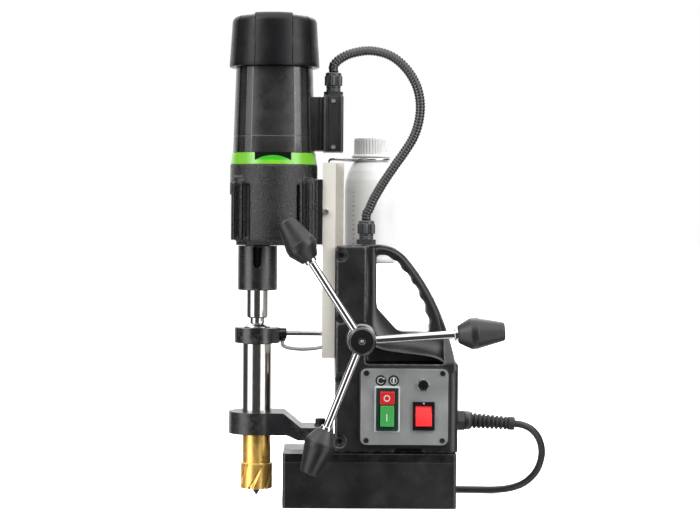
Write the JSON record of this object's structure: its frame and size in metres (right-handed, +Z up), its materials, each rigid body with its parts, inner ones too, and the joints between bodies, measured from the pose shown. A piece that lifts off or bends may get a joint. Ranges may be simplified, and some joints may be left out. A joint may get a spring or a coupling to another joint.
{
  "type": "magnetic drill press",
  "caption": "Portable drill press with a magnet base, geared motor head on a dovetail slide, three-lever feed and annular cutter.",
  "frame": {"origin": "on the magnet's flat underside, under the column's axis line, on the machine's middle plane", "axes": "+Z up, +X from the cutter towards the handle and cord, -Y towards the operator at the levers and control panel"},
  "size_m": [0.3108, 0.2568, 0.4698],
  "materials": {
    "magnet_body": "satin black paint",
    "magnet_coils": "enamelled copper winding",
    "coil_potting": "cast resin",
    "base_plate": "black textured paint",
    "column_casting": "black textured paint on cast aluminium",
    "side_cover": "brushed sheet",
    "gib_strip": "machined",
    "shaft_bushes": "sintered bronze",
    "cap_screws": "black oxide",
    "support_bracket": "black textured paint on cast iron",
    "panel_gasket": "matt",
    "panel_plate": "brushed sheet",
    "panel_screws": "black oxide",
    "motor_switch": "moulded",
    "stop_button": "moulded",
    "start_button": "moulded",
    "magnet_switch": "moulded",
    "magnet_rocker": "moulded, lit from inside",
    "fuse_holder": "nickel plated",
    "fuse_cap": "moulded",
    "control_board": "coated circuit board",
    "column_gland": "moulded nylon",
    "cable_conduit": "corrugated",
    "motor_gland": "moulded nylon",
    "cord_gland": "moulded",
    "power_cord": "satin sheath",
    "cord_coil": "satin sheath",
    "plug": "moulded on",
    "slide_bar": "machined, warm white",
    "feed_rack": "milled",
    "back_plate": "black",
    "head_screws": "zinc plated",
    "gearbox_housing": "black textured paint on cast aluminium",
    "bearing_plate": "machined casting",
    "bearings": "ground",
    "motor_ring": "moulded",
    "motor_housing": "moulded",
    "stator": "stacked laminations and windings",
    "motor_brushes": "carbon in a moulded holder",
    "motor_cap": "moulded",
    "terminal_box": "moulded",
    "armature": "laminations, windings and a cut pinion",
    "cooling_fan": "moulded",
    "idler_gear": "hobbed and hardened",
    "spindle": "black oxide",
    "output_gear": "hobbed and hardened",
    "arbor": "ground",
    "cutter": "titanium nitride on high speed steel",
    "pilot_pin": "hardened",
    "ejector_spring": "drawn wire",
    "coolant_ring": "moulded nylon",
    "torque_rod": "turned",
    "coolant_hose": "clear tube",
    "coolant_bottle": "blow moulded",
    "bottle_cap": "moulded",
    "bottle_holder": "bent wire",
    "pinion_shaft": "turned and hobbed",
    "capstan_hub": "plated",
    "feed_levers": "plated",
    "lever_knobs": "moulded"
  },
  "bodies": {
    "stand": {"magnet_body": "magnet_body", "magnet_coils": "magnet_coils", "coil_potting": "coil_potting", "base_plate": "base_plate", "column_casting": "column_casting", "side_cover": "side_cover", "gib_strip": "gib_strip", "shaft_bushes": "shaft_bushes", "cap_screws": "cap_screws", "support_bracket": "support_bracket", "panel_gasket": "panel_gasket", "panel_plate": "panel_plate", "panel_screws": "panel_screws", "motor_switch": "motor_switch", "magnet_switch": "magnet_switch", "fuse_holder": "fuse_holder", "control_board": "control_board", "column_gland": "column_gland", "cable_conduit": "cable_conduit", "cord_gland": "cord_gland", "power_cord": "power_cord", "cord_coil": "cord_coil", "plug": "plug"},
    "head": {"motor_gland": "motor_gland", "slide_bar": "slide_bar", "feed_rack": "feed_rack", "back_plate": "back_plate", "head_screws": "head_screws", "gearbox_housing": "gearbox_housing", "bearing_plate": "bearing_plate", "bearings": "bearings", "motor_ring": "motor_ring", "motor_housing": "motor_housing", "stator": "stator", "motor_brushes": "motor_brushes", "motor_cap": "motor_cap", "terminal_box": "terminal_box", "coolant_ring": "coolant_ring", "torque_rod": "torque_rod", "coolant_hose": "coolant_hose", "coolant_bottle": "coolant_bottle", "bottle_cap": "bottle_cap", "bottle_holder": "bottle_holder"},
    "drive_spindle": {"spindle": "spindle", "output_gear": "output_gear", "arbor": "arbor", "cutter": "cutter", "ejector_spring": "ejector_spring"},
    "idler": {"idler_gear": "idler_gear"},
    "rotor": {"armature": "armature", "cooling_fan": "cooling_fan"},
    "pilot": {"pilot_pin": "pilot_pin"},
    "capstan": {"pinion_shaft": "pinion_shaft", "capstan_hub": "capstan_hub", "feed_levers": "feed_levers", "lever_knobs": "lever_knobs"},
    "motor_stop": {"stop_button": "stop_button"},
    "motor_start": {"start_button": "start_button"},
    "rocker": {"magnet_rocker": "magnet_rocker"},
    "fuse": {"fuse_cap": "fuse_cap"}
  },
  "joints": [
    {"name": "head_feed", "type": "slide", "parent": "stand", "child": "head", "axis": [0, 0, 1], "range_m": [-0.057, 0.026], "deforming": ["cable_conduit"]},
    {"name": "capstan_turn", "type": "hinge", "parent": "stand", "child": "capstan", "pos_m": [-0.0088, 0, 0.1613], "axis": [0, 1, 0], "range_deg": [-272.15, 124.14]},
    {"name": "spindle_spin", "type": "hinge", "parent": "head", "child": "drive_spindle", "pos_m": [-0.1085, 0, 0.24], "axis": [0, 0, 1], "continuous": true},
    {"name": "idler_spin", "type": "hinge", "parent": "head", "child": "idler", "pos_m": [-0.09097, 0.01782, 0.28], "axis": [0, 0, 1], "continuous": true},
    {"name": "armature_spin", "type": "hinge", "parent": "head", "child": "rotor", "pos_m": [-0.0935, 0, 0.35], "axis": [0, 0, 1], "continuous": true},
    {"name": "pilot_slide", "type": "slide", "parent": "drive_spindle", "child": "pilot", "axis": [0, 0, 1], "range_m": [0, 0.02], "stiffness_N_per_m": 400, "springref_m": -0.01, "deforming": ["ejector_spring"]},
    {"name": "stop_press", "type": "slide", "parent": "stand", "child": "motor_stop", "axis": [0, 1, 0], "range_m": [0, 0.0025], "stiffness_N_per_m": 400, "springref_m": -0.0015},
    {"name": "start_press", "type": "slide", "parent": "stand", "child": "motor_start", "axis": [0, 1, 0], "range_m": [0, 0.0025], "stiffness_N_per_m": 400, "springref_m": -0.0015},
    {"name": "magnet_toggle", "type": "hinge", "parent": "stand", "child": "rocker", "pos_m": [0.051, -0.037, 0.0881], "axis": [1, 0, 0], "range_deg": [0, 22]},
    {"name": "fuse_turn", "type": "hinge", "parent": "stand", "child": "fuse", "pos_m": [0.0503, -0.036, 0.1176], "axis": [0, 1, 0], "range_deg": [0, 90]}
  ],
  "couplings": [
    {"joint": "capstan_turn", "follows": "head_feed", "rad_per_m": 83.333},
    {"joint": "idler_spin", "follows": "spindle_spin", "ratio": -3},
    {"joint": "armature_spin", "follows": "spindle_spin", "ratio": 7.8}
  ]
}
